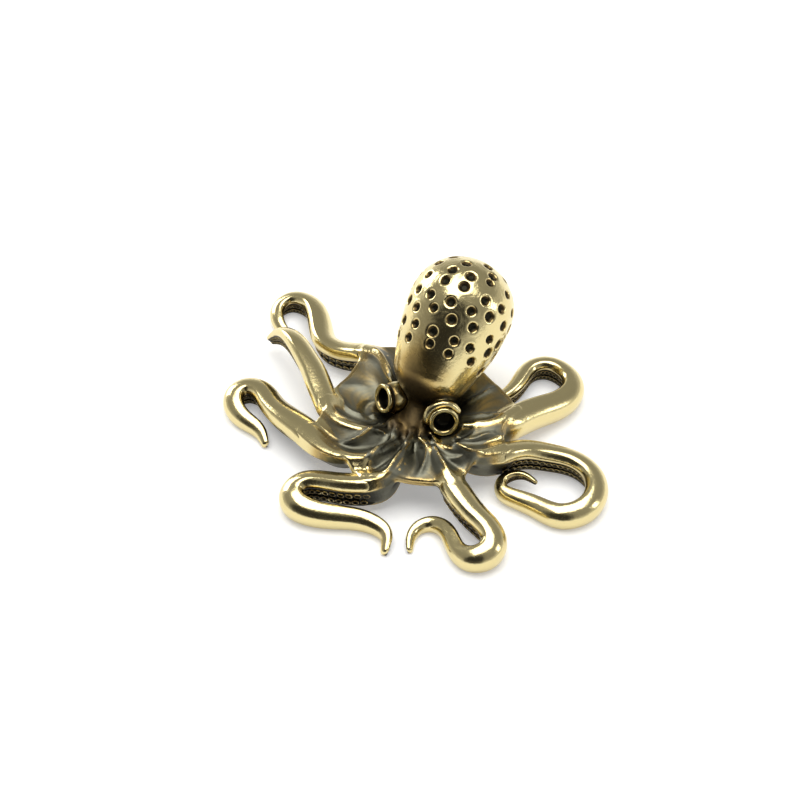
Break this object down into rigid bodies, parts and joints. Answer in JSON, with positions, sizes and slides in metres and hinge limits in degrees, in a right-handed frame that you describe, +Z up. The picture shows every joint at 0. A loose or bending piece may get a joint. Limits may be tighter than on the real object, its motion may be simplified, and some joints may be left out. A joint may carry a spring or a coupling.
{
  "type": "octopus figurine",
  "caption": "Small solid brass octopus with a pitted egg-shaped mantle, tube eyes, a ridged web and arms that curl on the floor to hooked tips.",
  "frame": {"origin": "on the surface the figurine stands on, under the middle of its footprint", "axes": "+Z up, -Y towards the face, +X towards the figurine's own left side, to the right of someone who looks at the face"},
  "size_m": [0.0561, 0.0446, 0.0216],
  "materials": {
    "brass": "polished on the high places, oxidised dark in the recesses"
  },
  "bodies": {
    "root": {"mantle": "brass", "head_and_web": "brass", "eye_left": "brass", "eye_right": "brass", "arm_front_left": "brass", "arm_front_right": "brass", "arm_right_front": "brass", "arm_right_rear": "brass", "arm_back": "brass", "arm_back_left": "brass", "arm_left_rear": "brass", "arm_left_front": "brass"}
  },
  "joints": []
}
